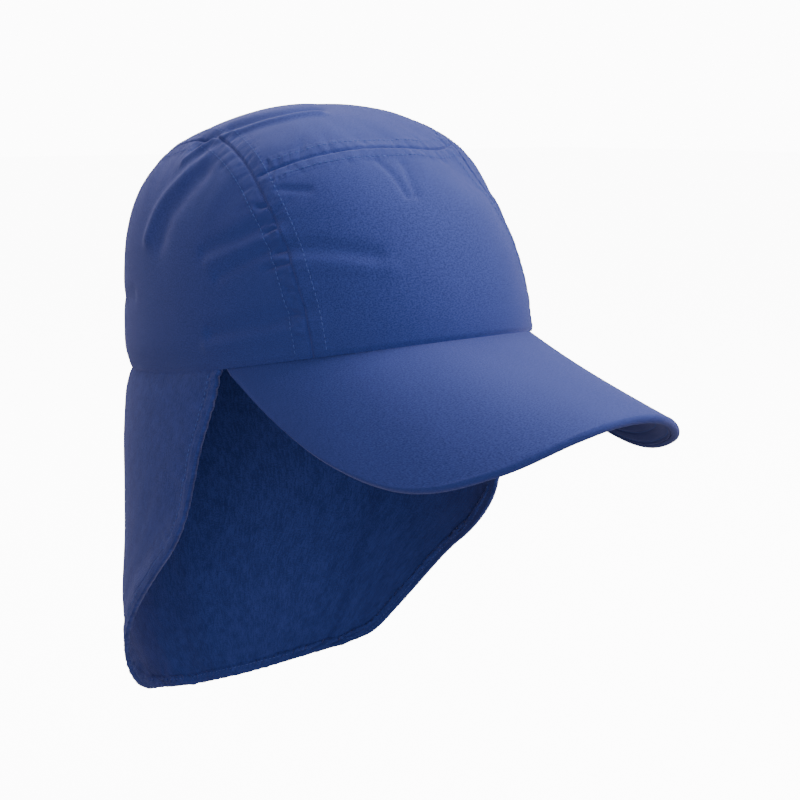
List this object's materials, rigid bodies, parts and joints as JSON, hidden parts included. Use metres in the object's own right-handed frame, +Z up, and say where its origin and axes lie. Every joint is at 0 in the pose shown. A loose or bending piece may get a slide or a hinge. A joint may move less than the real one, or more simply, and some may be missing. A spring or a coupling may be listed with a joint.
{
  "type": "legionnaire cap",
  "caption": "Soft cloth cap with a stitched panel crown, a curved peak and a long neck flap that hangs from the rim round the back and both sides.",
  "frame": {"origin": "centre of the head opening, in the plane of the crown's rim, where a head carries the cap", "axes": "+Z up as worn, -Y to the front where the peak points, +X to the wearer's left; the rim is tilted 9 degrees with its front up"},
  "size_m": [0.1632, 0.2915, 0.2901],
  "materials": {
    "cap_cloth": "fine tight plain weave in royal blue, soft violet sheen at grazing angles",
    "peak_lining_cloth": "the same blue cloth, stitched flat in rows",
    "flap_cloth": "the same blue cloth, one layer, faint slubs on its inner face"
  },
  "bodies": {
    "root": {"front_panel": "cap_cloth", "top_panel": "cap_cloth", "side_panel_right": "cap_cloth", "side_panel_left": "cap_cloth", "peak_cover": "cap_cloth", "peak_lining": "peak_lining_cloth", "neck_flap": "flap_cloth"}
  },
  "joints": []
}
